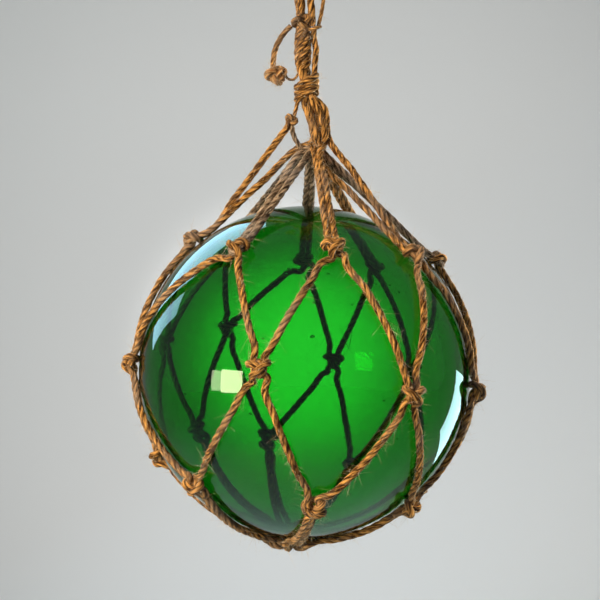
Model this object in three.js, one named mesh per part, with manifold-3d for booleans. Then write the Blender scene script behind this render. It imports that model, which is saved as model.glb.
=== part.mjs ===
import * as THREE from 'three';
import * as BufferGeometryUtils from 'three/addons/utils/BufferGeometryUtils.js';
import Module from 'manifold-3d';

// A blown glass fishing float in a hand-tied rope net, hanging by its own rope. Millimetres, +Z up.
// The origin is the point where the rope's eye bears on its hook, and the ball hangs plumb below it.
// The side that faces the viewer is -Y. An azimuth is 0 there and grows to the right, towards +X.
// Heights and places below are counted from the ball's centre, which lies BALL_DROP under the origin.

// The glass ball
const BALL_DIAMETER = 250;
const BALL_DROP = 324;
const BALL_MERIDIANS = 24;
const BALL_PARALLELS = 16;

// The rope, and how far it stays off the glass and off what it only touches
const ROPE_DIAMETER = 5.8;
const GLASS_GAP = 1.2;
const TOUCH_GAP = 0.3;
const ROPE_SIDES = 5;
const ROPE_STEPS = 3;

// A knot of the net: turns of rope side by side on the slant
const KNOT_LENGTH = 21;
const KNOT_WIDTH = 18;
const KNOT_THICKNESS = 11;
const KNOT_TURNS = 2;
const KNOT_RIDGE = 0.12;
const KNOT_PARALLELS = 4;
const KNOT_SLANT = 40;
const KNOT_REACH = 6; // from the knot's middle to where its ropes leave it
const PAIR_SPACING = 6.4; // between the two ropes that leave an upper or lower knot together

// The three rows of knots, [azimuth, latitude] in degrees, as the hand that tied them placed them.
// Upper and lower knot number i lies between middle knots i and i + 1.
const UPPER_KNOTS = [[-33, 47], [14, 48], [58, 44], [97, 39], [146, 36], [180, 38], [222, 43], [262, 49]];
const MIDDLE_KNOTS = [[-85, 3], [-14, 7], [35, -2], [77, -5], [136, -5], [169, -3], [210, 10], [242, 7]];
const LOWER_KNOTS = [[-47, -35], [4, -41], [59, -47], [106, -44], [155, -44], [196, -32], [229, -27], [262, -31]];

// The ring of rope under the ball, thick with the lower bights that are looped on it
const RING_PLACE = [-90, -85];
const RING_RADIUS = 10;
const RING_THICKNESS = 10.5;
const RING_PAIR_ANGLE = 12.5; // each rope of a pair lies this far to its side of the pair's middle

// The hanging rope's lowest bight, in a plane turned by BIGHT_TURN, and the gather of the net's upper bights on it
const BIGHT_PLACE = [10, 0, 179.5];
const BIGHT_WIDTH = 2 * ROPE_DIAMETER;
const BIGHT_TURN = 60;
const BIGHT_STEPS = 14;
const GATHER_RING_RADIUS = 8;
const GATHER_SHIFT = -4; // of the gather's middle from the bight's, to the side
const GATHER_WIDTH = 24;
const GATHER_HEIGHT = 14;
const GATHER_GRIP = 3; // how deep in the gather the ropes end
const GATHER_CLEARANCE = 1.7; // between the gather and the bight that runs over it
const LEGS_CLOSING = 0.5; // how far apart the bight's legs end in the collar, as a share of its width

// The small knot in the net's left-hand upper bight, and the end of rope that ties it to the collar
const STRAY_KNOT_PLACE = [-10, -2, 187];
const STRAY_KNOT_SIZE = [8.5, 8, 12];
const STRAY_END_DIAMETER = 3.6;

// The leg at the right that runs up past the gather to the collar: the knot it comes from, and its upper end
const LONG_LEG_KNOT = 2;
const LONG_LEG_ROUTE = [[17.3, -1, 179], [16.8, -1, 190], [14.6, -1, 200.4]];

// The collar of turns that closes the bight, and the rope above it
const COLLAR_PLACE = [1.4, 0, 203];
const COLLAR_DIAMETER = 19.5;
const COLLAR_TURNS = 3;
const COLLAR_PITCH = 4.8;
const COLLAR_SIDES = 8;
const LAID_PLACE = [-1.3, 0];
const LAID_BOTTOM = 229;
const LAID_TOP = 257;
const LAID_DIAMETER = 13.5;
const CROWN_PLACE = [-3.8, 0, 261];
const CROWN_DIAMETER = 11;
const NECK_DIAMETER = 10; // the core between the collar and the laid rope
const NECK_GRIP = 3;
const LAID_TURNS = 1;
const LAID_STEPS = 6;
const SIDE_STRAND_DIAMETER = 4.8;
const SIDE_STRAND_OUT = [9.3, 8.9, 9.5, 8.5, 7.3]; // from the laid rope's middle, at even heights up to its top

const wasm = await Module();
wasm.setup();

const ballRadius = BALL_DIAMETER / 2;
const ropeRadius = ROPE_DIAMETER / 2;
const ropeOrbit = ballRadius + GLASS_GAP + ropeRadius; // of a rope that lies on the glass

function toSolid(geometry) {
  const bare = geometry.clone();
  bare.deleteAttribute('normal');
  bare.deleteAttribute('uv');
  const merged = BufferGeometryUtils.mergeVertices(bare, 1e-4);
  return new wasm.Manifold(new wasm.Mesh({
    numProp: 3,
    vertProperties: Float32Array.from(merged.attributes.position.array),
    triVerts: Uint32Array.from(merged.index.array),
  }));
}

function toGeometry(solid) {
  const { vertProperties, triVerts } = solid.getMesh();
  const geometry = new THREE.BufferGeometry();
  geometry.setAttribute('position', new THREE.BufferAttribute(vertProperties, 3));
  geometry.setIndex(new THREE.BufferAttribute(triVerts, 1));
  const flat = geometry.toNonIndexed();
  flat.computeVertexNormals();
  return flat;
}

// One solid of all the pieces. A pocket that the turns close between them is filled: only outer skins are kept.
function joined(geometries) {
  const add = (whole, next) => whole.add(next);
  const whole = geometries.map(toSolid).reduce(add);
  return toGeometry(whole.decompose().filter((skin) => skin.volume() > 0).reduce(add));
}

// The direction from the ball's centre at an azimuth and latitude in degrees
function towards(azimuth, latitude) {
  const a = THREE.MathUtils.degToRad(azimuth);
  const b = THREE.MathUtils.degToRad(latitude);
  return new THREE.Vector3(Math.cos(b) * Math.sin(a), -Math.cos(b) * Math.cos(a), Math.sin(b));
}

// A regular polygon whose corners lie on the rope's round
function roundSection(diameter, sides) {
  const corners = [];
  for (let i = 0; i < sides; i += 1) {
    const turn = (2 * Math.PI * i) / sides;
    corners.push(new THREE.Vector2(Math.cos(turn), Math.sin(turn)).multiplyScalar(diameter / 2));
  }
  return new THREE.Shape(corners);
}

function tube(points, diameter, sides, steps) {
  return new THREE.ExtrudeGeometry(roundSection(diameter, sides), {
    steps,
    bevelEnabled: false,
    extrudePath: new THREE.CatmullRomCurve3(points, false, 'centripetal'),
  });
}

// The shortest way over the glass between two directions, at one distance from the ball's centre.
// It stops short of each end by a length.
function overGlass(from, to, orbit, count, short = 0) {
  const axis = new THREE.Vector3().crossVectors(from, to).normalize();
  const first = short / orbit;
  const angle = from.angleTo(to) - 2 * first;
  const points = [];
  for (let i = 0; i <= count; i += 1) {
    points.push(from.clone().applyAxisAngle(axis, first + (angle * i) / count).multiplyScalar(orbit));
  }
  return points;
}

// A rope pulled taut from a knot to a point above the ball: over the glass, then straight off it
function tautLeg(from, top) {
  const leave = Math.acos(Math.min(1, ropeOrbit / top.length()));
  const axis = new THREE.Vector3().crossVectors(from, top).normalize();
  const first = KNOT_REACH / ropeOrbit;
  const last = Math.max(2 * first, from.angleTo(top) - leave);
  const off = from.clone().applyAxisAngle(axis, last).multiplyScalar(ropeOrbit);
  return [
    from.clone().applyAxisAngle(axis, first).multiplyScalar(ropeOrbit),
    off,
    off.clone().lerp(top, 0.5),
    top.clone(),
  ];
}

// Turns of rope side by side: a flattened ball with a ridge for each turn, run from end to end on the slant.
// As many ridges again lie hidden against the glass.
function knot(direction) {
  const form = new THREE.SphereGeometry(1, 4 * KNOT_TURNS, KNOT_PARALLELS);
  const corners = form.attributes.position;
  for (let i = 0; i < corners.count; i += 1) {
    const [x, y, z] = [corners.getX(i), corners.getY(i), corners.getZ(i)];
    const ridge = 1 + KNOT_RIDGE * Math.cos(2 * KNOT_TURNS * Math.atan2(z, x));
    corners.setXYZ(i, x * ridge, y, z * ridge);
  }
  form.scale(KNOT_WIDTH / 2, KNOT_LENGTH / 2, KNOT_THICKNESS / 2);
  form.translate(0, 0, ballRadius + GLASS_GAP + (KNOT_THICKNESS / 2) * (1 + KNOT_RIDGE));
  const upwards = new THREE.Vector3(0, 0, 1).projectOnPlane(direction).normalize();
  const along = upwards.applyAxisAngle(direction, THREE.MathUtils.degToRad(KNOT_SLANT));
  const across = new THREE.Vector3().crossVectors(along, direction);
  return form.applyMatrix4(new THREE.Matrix4().makeBasis(across, along, direction));
}

// A direction moved sideways along its parallel by a length on the glass
function sidestep(azimuth, latitude, length) {
  const round = ballRadius * Math.cos(THREE.MathUtils.degToRad(latitude));
  return towards(azimuth + THREE.MathUtils.radToDeg(length / round), latitude);
}

function glassBall() {
  return new THREE.SphereGeometry(ballRadius, BALL_MERIDIANS, BALL_PARALLELS).rotateX(Math.PI / 2);
}

// A flattened ball of a width, depth and height
function lump(place, size, around = 8, parallels = 5) {
  const form = new THREE.SphereGeometry(0.5, around, parallels).rotateX(Math.PI / 2);
  return form.scale(...size).translate(...place);
}

function bightDirection() {
  return towards(90, 0).applyAxisAngle(new THREE.Vector3(0, 0, 1), THREE.MathUtils.degToRad(BIGHT_TURN));
}

function ropeNet() {
  const pieces = [];
  const bight = new THREE.Vector3(...BIGHT_PLACE);
  const drop = BIGHT_WIDTH / 2 + ropeRadius + GATHER_CLEARANCE + GATHER_HEIGHT / 2;
  const gather = bight.clone().add(new THREE.Vector3(GATHER_SHIFT, 0, -drop));
  const stray = new THREE.Vector3(...STRAY_KNOT_PLACE);
  const longLeg = LONG_LEG_ROUTE.map((place) => new THREE.Vector3(...place));
  const ringAxis = towards(...RING_PLACE);
  const ringOrbit = ballRadius + GLASS_GAP + RING_THICKNESS / 2;
  const count = MIDDLE_KNOTS.length;
  const rope = (points, steps) => pieces.push(tube(points, ROPE_DIAMETER, ROPE_SIDES, steps));

  for (let i = 0; i < count; i += 1) {
    for (const row of [UPPER_KNOTS, LOWER_KNOTS]) {
      for (const side of [0, 1]) {
        const end = towards(...MIDDLE_KNOTS[(i + side) % count]);
        rope(overGlass(towards(...row[i]), end, ropeOrbit, ROPE_STEPS, KNOT_REACH), ROPE_STEPS);
      }
    }
    for (const row of [UPPER_KNOTS, MIDDLE_KNOTS, LOWER_KNOTS]) {
      pieces.push(knot(towards(...row[i])));
    }
    for (const side of [-1, 1]) {
      const upper = sidestep(...UPPER_KNOTS[i], (side * PAIR_SPACING) / 2);
      const top = gather.clone().addScaledVector(towards(UPPER_KNOTS[i][0], 0), GATHER_WIDTH / 2 - GATHER_GRIP)
        .addScaledVector(towards(UPPER_KNOTS[i][0] + 90, 0), (side * PAIR_SPACING) / 2);
      if (i === count - 1 && side === -1) {
        rope(tautLeg(upper, stray), ROPE_STEPS);
      } else if (i === LONG_LEG_KNOT && side === 1) {
        rope([...tautLeg(upper, longLeg[0]), ...longLeg.slice(1)], 2 * ROPE_STEPS);
      } else {
        rope(tautLeg(upper, top), ROPE_STEPS);
      }

      const lower = sidestep(...LOWER_KNOTS[i], (side * PAIR_SPACING) / 2);
      const end = towards(LOWER_KNOTS[i][0] + side * RING_PAIR_ANGLE, 0).projectOnPlane(ringAxis);
      end.setLength(RING_RADIUS).addScaledVector(ringAxis, ringOrbit);
      rope(overGlass(lower, end.clone().normalize(), ropeOrbit, ROPE_STEPS, KNOT_REACH / 2), ROPE_STEPS);
    }
  }

  const ring = new THREE.TorusGeometry(RING_RADIUS, RING_THICKNESS / 2, 6, 12).lookAt(ringAxis);
  pieces.push(ring.translate(...ringAxis.clone().multiplyScalar(ringOrbit)));

  const linkThickness = BIGHT_WIDTH - ROPE_DIAMETER - 2 * TOUCH_GAP;
  const link = new THREE.TorusGeometry(GATHER_RING_RADIUS, linkThickness / 2, 6, 10).lookAt(bightDirection());
  pieces.push(link.translate(bight.x, bight.y, bight.z - GATHER_RING_RADIUS));
  pieces.push(lump(gather, [GATHER_WIDTH, GATHER_WIDTH, GATHER_HEIGHT]));
  pieces.push(lump(stray, STRAY_KNOT_SIZE));
  pieces.push(tube([stray, gather], STRAY_END_DIAMETER, ROPE_SIDES, 1));
  return joined(pieces);
}

// Two ropes laid round each other, as tubes on a helix
function laidPair() {
  const strand = LAID_DIAMETER / 2;
  return [0, Math.PI].map((start) => {
    const points = [];
    for (let i = 0; i <= LAID_STEPS; i += 1) {
      const angle = start + (2 * Math.PI * LAID_TURNS * i) / LAID_STEPS;
      const height = LAID_BOTTOM + ((LAID_TOP - LAID_BOTTOM) * i) / LAID_STEPS;
      points.push(new THREE.Vector3(
        LAID_PLACE[0] + (strand / 2) * Math.cos(angle),
        LAID_PLACE[1] + (strand / 2) * Math.sin(angle),
        height,
      ));
    }
    return tube(points, strand, ROPE_SIDES, LAID_STEPS);
  });
}

function collar() {
  const profile = [new THREE.Vector2(0, 0)];
  for (let i = 0; i < COLLAR_TURNS; i += 1) {
    profile.push(new THREE.Vector2(COLLAR_DIAMETER / 2 - COLLAR_PITCH / 4, (i + 0.02) * COLLAR_PITCH));
    profile.push(new THREE.Vector2(COLLAR_DIAMETER / 2, (i + 0.5) * COLLAR_PITCH));
  }
  profile.push(new THREE.Vector2(COLLAR_DIAMETER / 2 - COLLAR_PITCH / 4, COLLAR_TURNS * COLLAR_PITCH));
  profile.push(new THREE.Vector2(0, COLLAR_TURNS * COLLAR_PITCH));
  return new THREE.LatheGeometry(profile, COLLAR_SIDES).rotateX(Math.PI / 2).translate(...COLLAR_PLACE);
}

function hangingRope() {
  const bight = new THREE.Vector3(...BIGHT_PLACE);
  const out = bightDirection().multiplyScalar(BIGHT_WIDTH / 2);
  const down = new THREE.Vector3(0, 0, -BIGHT_WIDTH / 2);
  const foot = new THREE.Vector3(...COLLAR_PLACE);
  const collarTop = foot.z + COLLAR_TURNS * COLLAR_PITCH;
  const bend = [0, 0.25, 0.5, 0.75, 1].map((share) => bight.clone()
    .addScaledVector(out, -Math.cos(Math.PI * share)).addScaledVector(down, Math.sin(Math.PI * share)));
  const raised = (side) => foot.clone().addScaledVector(out, LEGS_CLOSING * side).setZ(foot.z + COLLAR_PITCH);
  const neck = [foot.clone().setZ(collarTop - COLLAR_PITCH), new THREE.Vector3(...LAID_PLACE, LAID_BOTTOM + NECK_GRIP)];
  const strandFoot = foot.z + COLLAR_PITCH;
  const strand = SIDE_STRAND_OUT.map((away, i) => new THREE.Vector3(
    LAID_PLACE[0] + away,
    LAID_PLACE[1],
    THREE.MathUtils.lerp(strandFoot, LAID_TOP, i / (SIDE_STRAND_OUT.length - 1)),
  ));
  const stray = new THREE.Vector3(...STRAY_KNOT_PLACE);
  const strayTop = stray.clone().setZ(stray.z + STRAY_KNOT_SIZE[2] / 2 + TOUCH_GAP);
  return joined([
    tube([raised(-1), ...bend, raised(1)], ROPE_DIAMETER, ROPE_SIDES, BIGHT_STEPS),
    collar(),
    tube(neck, NECK_DIAMETER, COLLAR_SIDES, 1),
    ...laidPair(),
    lump(CROWN_PLACE, [CROWN_DIAMETER, CROWN_DIAMETER, CROWN_DIAMETER]),
    tube(strand, SIDE_STRAND_DIAMETER, ROPE_SIDES, strand.length),
    tube([strayTop, raised(-1).setX(foot.x - COLLAR_DIAMETER / 4)], STRAY_END_DIAMETER, ROPE_SIDES, 1),
  ]);
}

// The free ropes: each one's route is the points that it follows, chosen by hand

const LOOP_DIAMETER = ROPE_DIAMETER;
const LOOP_ROUTE = [
  [-2.2, 0, 267.2], [-2.4, 0, 279], [-5.2, 0, 290], [-10.6, 0, 301], [-12.8, 0, 312.5], [-9, 0, 322.9], [0, 0, 327.2],
  [9, 0, 322.9], [12.8, 0, 312.5], [11.2, 0, 301], [6.8, 0, 290], [4.7, 0, 279], [5.3, 0, 268], [5.8, 0, 258.2],
];
const THIN_LOOP_DIAMETER = 3.2;
const THIN_LOOP_ROUTE = [
  [9.8, 2.5, 257], [12.2, 3.4, 267], [14.4, 4.6, 279], [16.6, 5.2, 292], [16.4, 5.2, 305], [11, 5.2, 318], [0, 5.2, 325.6],
  [-11, 5.2, 318], [-15.4, 5.2, 305], [-11.4, 5.2, 291], [-6.6, 5.2, 279], [-5, 5.1, 271], [-4.6, 5, 265.6],
];
const TAIL_DIAMETER = 4.5;
const TAIL_ROUTE = [[-10.2, -0.4, 258.6], [-14.6, -0.8, 254], [-19.4, -1.4, 247], [-22.6, -1.8, 238.6], [-23.4, -2, 229.8]];
const TAIL_KNOT_PLACE = [-21.6, -2, 221.6];
const TAIL_KNOT_SIZE = [18, 14, 15.6];

function cord(route, diameter, steps) {
  return tube(route.map((place) => new THREE.Vector3(...place)), diameter, 8, steps);
}

function mesh(name, geometry, colour, roughness) {
  const made = new THREE.Mesh(geometry, new THREE.MeshStandardMaterial({ color: colour, roughness, metalness: 0 }));
  made.name = name;
  return made;
}

const GLASS_GREEN = 0x0f7a2a;
const ROPE_BROWN = 0xb98a52;
const FRAYED_SAND = 0xd2b183;

const float = new THREE.Group();
float.position.z = -BALL_DROP;
float.add(mesh('glass_ball', glassBall(), GLASS_GREEN, 0.03));
float.add(mesh('rope_net', ropeNet(), ROPE_BROWN, 0.9));
float.add(mesh('hanging_rope', hangingRope(), ROPE_BROWN, 0.9));
float.add(mesh('hanging_loop', cord(LOOP_ROUTE, LOOP_DIAMETER, 15), ROPE_BROWN, 0.9));
float.add(mesh('hanging_loop_thin', cord(THIN_LOOP_ROUTE, THIN_LOOP_DIAMETER, 14), ROPE_BROWN, 0.9));
float.add(mesh('side_tail', cord(TAIL_ROUTE, TAIL_DIAMETER, 6), ROPE_BROWN, 0.9));
float.add(mesh('side_tail_knot', lump(TAIL_KNOT_PLACE, TAIL_KNOT_SIZE, 8, 6), FRAYED_SAND, 0.95));

export default float;
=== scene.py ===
import math

import bpy
import numpy as np
from mathutils import Matrix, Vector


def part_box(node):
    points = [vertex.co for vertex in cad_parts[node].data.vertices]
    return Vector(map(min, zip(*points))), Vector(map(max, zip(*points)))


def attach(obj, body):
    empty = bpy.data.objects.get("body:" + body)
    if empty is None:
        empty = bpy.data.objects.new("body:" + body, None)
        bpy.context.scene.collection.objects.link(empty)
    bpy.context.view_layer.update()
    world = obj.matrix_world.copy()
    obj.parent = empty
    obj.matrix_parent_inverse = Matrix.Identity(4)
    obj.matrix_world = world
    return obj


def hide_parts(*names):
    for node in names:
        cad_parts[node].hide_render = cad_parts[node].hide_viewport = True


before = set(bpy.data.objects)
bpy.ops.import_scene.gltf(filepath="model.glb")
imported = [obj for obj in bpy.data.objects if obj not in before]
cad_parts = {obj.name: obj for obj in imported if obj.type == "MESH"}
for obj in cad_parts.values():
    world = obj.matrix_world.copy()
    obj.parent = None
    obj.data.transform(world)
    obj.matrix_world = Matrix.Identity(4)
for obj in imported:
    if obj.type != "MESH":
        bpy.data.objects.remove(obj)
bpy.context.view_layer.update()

# The camera
# It stands a little higher than the ball's middle and looks slightly down, at the side that faces -Y.
CAMERA_PLACE = (-0.0034, -1.2916, -0.1768)
CAMERA_DOWN = 4.134
CAMERA_LENS = 103.1
camera_data = bpy.data.cameras.new("camera")
camera_data.lens = CAMERA_LENS
camera = bpy.data.objects.new("camera", camera_data)
camera.location = CAMERA_PLACE
camera.rotation_euler = (math.radians(90 - CAMERA_DOWN), 0, 0)
bpy.context.scene.collection.objects.link(camera)
bpy.context.scene.camera = camera

# The free ropes
# Two turns of the hanging rope go up from its crown knot, out of the picture and over the hook, and one short
# end hangs at the left in a frayed knot. All are laid from three strands of brown natural fibre.
BALL_LOW, BALL_HIGH = (np.array(corner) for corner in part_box("glass_ball"))
# Places here and below are in metres from the ball's centre.
BALL_CENTRE = (BALL_LOW + BALL_HIGH) / 2
LOOP = 0.0058
# How far a strand runs for each turn round its rope, in the rope's diameters
LAY = 4.2
# The step between the rings of a rope's skin, and the points round each
RING_STEP = 0.0014
ROUND = 18
# How full of fibre the furrows are, and how much a rope swells and narrows, as shares of its radius
FURROW_FILL = 0.72
LUMPS = 0.05
# A cut end is painted as dark as a furrow of this depth: painted shade, as in the furrows.
CUT_END = 0.6
chance = np.random.default_rng(11)


def smooth_line(points, step, closed=False):
    """A line through the points, at even distances. Between two points it is the cubic whose slope at each is
    the mean of the slopes of the stretches beside it, each weighted by the other one's length."""
    p = np.asarray(points, float)
    count = len(p)
    if closed:
        p = np.vstack([p[-2:], p, p[:3]])
    reach = np.diff(p, axis=0)
    gap = np.linalg.norm(reach, axis=1)[:, None]
    straight = reach / gap
    slope = np.vstack([straight[:1], straight])
    slope[1:-1] = (straight[:-1] * gap[1:] + straight[1:] * gap[:-1]) / (gap[:-1] + gap[1:])
    t = np.linspace(0, 1, 25)[None, :-1, None]
    start, end = p[:-1, None], p[1:, None]
    leaving, arriving = slope[:-1, None] * gap[:, None], slope[1:, None] * gap[:, None]
    dense = (2 * t**3 - 3 * t**2 + 1) * start + (t**3 - 2 * t**2 + t) * leaving
    dense = dense + (3 * t**2 - 2 * t**3) * end + (t**3 - t**2) * arriving
    if closed:
        dense, last = dense[2 : 2 + count].reshape(-1, 3), p[2:3]
    else:
        dense, last = dense.reshape(-1, 3), p[-1:]
    dense = np.vstack([dense, last])
    gone = np.concatenate([[0], np.cumsum(np.linalg.norm(np.diff(dense, axis=0), axis=1))])
    even = np.linspace(0, gone[-1], max(3, round(gone[-1] / step)) + 1)
    line = np.column_stack([np.interp(even, gone, dense[:, k]) for k in range(3)])
    return line[:-1] if closed else line


def carried_frame(line, closed=False):
    """The line's direction at each point, and two directions square to it that are carried from point to
    point without turning about the line."""
    if closed:
        along = np.roll(line, -1, axis=0) - np.roll(line, 1, axis=0)
    else:
        along = np.gradient(line, axis=0)
    along /= np.linalg.norm(along, axis=1)[:, None]
    side = np.empty_like(line)
    carried = np.cross(along[0], (0.31, 0.52, 0.79))
    for i, heading in enumerate(along):
        carried = carried - heading * (carried @ heading)
        carried /= np.linalg.norm(carried)
        side[i] = carried
    return along, side, np.cross(along, side)


def drift(count, every):
    """Values from -1 to 1 that wander evenly: a random value at every so many places, and cosines between."""
    knots = chance.uniform(-1, 1, count // every + 3)
    place = np.arange(count) / every
    whole = place.astype(int)
    share = (1 - np.cos(np.pi * (place - whole))) / 2
    return knots[whole] * (1 - share) + knots[whole + 1] * share


def laid_outline():
    """Round a rope of three strands: a strand of 0.464 of the rope's radius, 0.536 off its middle, is met at
    off cos(d) + sqrt(strand^2 - off^2 sin^2(d)) at the angle d from the nearest strand. Loose fibres fill
    most of the furrows."""
    angle = 2 * np.pi * np.arange(ROUND) / ROUND
    near = (angle + np.pi / 3) % (2 * np.pi / 3) - np.pi / 3
    strand, off = 0.4641, 0.5359
    met = off * np.cos(near) + np.sqrt(np.maximum(strand**2 - (off * np.sin(near)) ** 2, 0))
    return FURROW_FILL + (1 - FURROW_FILL) * met


def laid_rope(points, diameter, closed=False, wander=0.0002, lay=LAY):
    """A rope along the points: the three-stranded outline at each ring, turned by one turn for each lay
    length. The grain is where each point would lie in the rope laid out straight, half turned back with the
    strands. The line wanders and the rope swells by small even drifts."""
    line = smooth_line(points, RING_STEP, closed)
    count = len(line)
    stay = np.sin(np.linspace(0, np.pi, count))[:, None] ** 0.2
    line = line + wander * stay * np.column_stack([drift(count, 9) for _ in range(3)])
    along, side, across = carried_frame(line, closed)
    gone = np.arange(count) * RING_STEP
    turns = gone[-1] / (lay * diameter)
    turn = 2 * np.pi * turns * np.arange(count) / (count - 1)
    if closed:
        slip = math.atan2(side[0] @ across[-1], side[0] @ side[-1])
        turn = (2 * np.pi * round(turns) + slip) * np.arange(count) / count
    outline = laid_outline()
    size = diameter / 2 * (1 + LUMPS * drift(count, 5))
    around = 2 * np.pi * np.arange(ROUND) / ROUND
    angle = turn[:, None] + around
    spoke = np.cos(angle)[..., None] * side[:, None] + np.sin(angle)[..., None] * across[:, None]
    rings = line[:, None] + (size[:, None] * outline)[..., None] * spoke
    back = 0.5 * turn[:, None] + around
    far = size[:, None] * outline
    start = chance.uniform(0, 5)
    down = np.broadcast_to(gone[:, None] + start, far.shape)
    grain = np.stack([down, far * np.cos(back), far * np.sin(back)], -1)
    furrow = np.broadcast_to((1 - outline) / (1 - outline.min()), far.shape)
    return dict(line=line, along=along, side=side, across=across, size=size, rings=rings, grain=grain,
                furrow=furrow, closed=closed)


def skin_faces(rings, around, closed, first):
    """Four-sided faces between neighbouring rings, and a fan of triangles to a middle point at each open
    end."""
    i = np.arange(rings if closed else rings - 1)[:, None]
    j = np.arange(around)[None]
    after = (i + 1) % rings
    beside = (j + 1) % around
    quads = np.stack([i * around + j, i * around + beside, after * around + beside, after * around + j], -1)
    faces = (quads.reshape(-1, 4) + first).tolist()
    if not closed:
        j = j[0]
        beside = beside[0]
        middle = first + rings * around
        top = first + (rings - 1) * around
        faces += np.column_stack([np.full(around, middle), first + beside, first + j]).tolist()
        faces += np.column_stack([np.full(around, middle + 1), top + j, top + beside]).tolist()
    return faces


def new_piece(name, mesh, material):
    """A piece of the part from its mesh, with one material. It rides on the part's only body."""
    mesh.materials.append(material)
    piece = bpy.data.objects.new(name, mesh)
    bpy.context.scene.collection.objects.link(piece)
    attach(piece, "root")
    return piece


def rope_piece(name, ropes, material):
    """One mesh of all the ropes' skins, with each point's place in the straight rope and its depth in a
    furrow."""
    points, grains, furrows, faces, first = [], [], [], [], 0
    for rope in ropes:
        count, around = rope["rings"].shape[:2]
        parts = [(rope["rings"], rope["grain"], rope["furrow"])]
        if not rope["closed"]:
            ends = [0, -1]
            parts.append((rope["line"][ends], rope["grain"][ends].mean(1), np.full(2, CUT_END)))
        for place, grain, furrow in parts:
            points.append(place.reshape(-1, 3))
            grains.append(grain.reshape(-1, 3))
            furrows.append(np.ravel(furrow))
        faces += skin_faces(count, around, rope["closed"], first)
        first += count * around + (0 if rope["closed"] else 2)
    mesh = bpy.data.meshes.new(name)
    mesh.from_pydata((np.vstack(points) + BALL_CENTRE).tolist(), [], faces)
    grain_data = mesh.attributes.new("grain", "FLOAT_VECTOR", "POINT").data
    grain_data.foreach_set("vector", np.vstack(grains).ravel())
    furrow_data = mesh.attributes.new("furrow", "FLOAT", "POINT").data
    furrow_data.foreach_set("value", np.concatenate(furrows))
    mesh.shade_smooth()
    return new_piece(name, mesh, material)


class Wire:
    """A node socket that reckons like a number: an expression on wires adds its Math nodes."""

    def __init__(self, tree, socket=None):
        self.tree = tree
        self.socket = socket

    def add(self, kind, settings, inputs, out=0):
        """A node of a kind: its settings first, then its sockets' values or links. Gives one output."""
        node = self.tree.nodes.new(kind)
        for name, value in settings.items():
            setattr(node, name, value)
        for name, value in inputs.items():
            if isinstance(value, Wire):
                self.tree.links.new(value.socket, node.inputs[name])
            else:
                node.inputs[name].default_value = value
        return Wire(self.tree, node.outputs[out])

    def reckon(self, operation, first, second):
        """A Math node on two wires or numbers"""
        return self.add("ShaderNodeMath", {"operation": operation}, {0: first, 1: second})

    def __add__(self, other):
        return self.reckon("ADD", self, other)

    def __radd__(self, other):
        return self.reckon("ADD", other, self)

    def __sub__(self, other):
        return self.reckon("SUBTRACT", self, other)

    def __rsub__(self, other):
        return self.reckon("SUBTRACT", other, self)

    def __mul__(self, other):
        return self.reckon("MULTIPLY", self, other)

    def __rmul__(self, other):
        return self.reckon("MULTIPLY", other, self)

    def __pow__(self, other):
        return self.reckon("POWER", self, other)

    def stretched(self, *scale):
        """The vector with each part times its own scale"""
        return self.add("ShaderNodeVectorMath", {"operation": "MULTIPLY"}, {0: self, 1: scale})

    def noise(self, scale, detail, roughness=0.6):
        """A noise from 0 to 1 at this place"""
        return self.add("ShaderNodeTexNoise", {}, {"Vector": self, "Scale": scale, "Detail": detail,
                                                   "Roughness": roughness})

    def between(self, low, high):
        """0 up to the low value, 1 from the high one, and even between them"""
        return self.add("ShaderNodeMapRange", {}, {"Value": self, "From Min": low, "From Max": high})

    def mixed(self, first, second):
        """The first colour where this is 0, and the second where it is 1"""
        return self.add("ShaderNodeMix", {"data_type": "RGBA"}, {"Factor": self, 6: first, 7: second}, 2)


def new_material(name):
    """A material, its node tree as a wire with no socket, and its shader."""
    material = bpy.data.materials.new(name)
    material.use_nodes = True
    tree = material.node_tree
    shader = tree.nodes["Principled BSDF"]
    return material, Wire(tree), shader


def rope_material(name, light, dark, furrow_shade_colour, grey):
    """Brown plant fibre: streaks along the grain, painted shade with some dirt in the furrows, greyed in
    patches.
    """
    material, wire, shader = new_material(name)
    grain = wire.add("ShaderNodeAttribute", {"attribute_name": "grain"}, {}, 1)
    furrow = wire.add("ShaderNodeAttribute", {"attribute_name": "furrow"}, {}, 2)
    place = wire.add("ShaderNodeTexCoord", {}, {}, 3)
    streak = grain.stretched(200, 1000, 1000).noise(1.0, 3.0, 0.65)
    yarn = grain.stretched(130, 650, 650).noise(1.0, 2.0, 0.5)
    patch = place.noise(24.0, 3.0, 0.6).between(0.46, 0.66)
    tone = (streak * 0.5 + yarn * 0.5).between(0.44, 0.60)
    colour = tone.mixed((*dark, 1), (*light, 1))
    colour = (patch * 0.6).mixed(colour, (*grey, 1))
    # Painted shade: the furrows between the strands are darkened towards the furrow shade colour, with some
    # dirt.
    colour = (furrow ** 1.2 * 0.85).mixed(colour, (*furrow_shade_colour, 1))
    wire.tree.links.new(colour.socket, shader.inputs["Base Color"])
    wire.tree.links.new((0.95 - tone * 0.25).socket, shader.inputs["Roughness"])
    height = streak * 0.55 + yarn * 0.45
    bump = wire.add("ShaderNodeBump", {}, {"Strength": 1.0, "Distance": 0.0012, "Height": height})
    wire.tree.links.new(bump.socket, shader.inputs["Normal"])
    shader.inputs["Specular IOR Level"].default_value = 0.25
    shader.inputs["Sheen Weight"].default_value = 0.12
    shader.inputs["Sheen Roughness"].default_value = 0.4
    shader.inputs["Sheen Tint"].default_value = (1.0, 0.8, 0.5, 1)
    return material


BROWN_ROPE = rope_material("brown_rope", (0.84, 0.40, 0.10), (0.060, 0.020, 0.004), (0.015, 0.005, 0.002),
                           (0.33, 0.235, 0.17))
SANDY_ROPE = rope_material("sandy_rope", (0.82, 0.45, 0.17), (0.26, 0.10, 0.03), (0.06, 0.022, 0.008),
                           (0.62, 0.48, 0.33))

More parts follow.
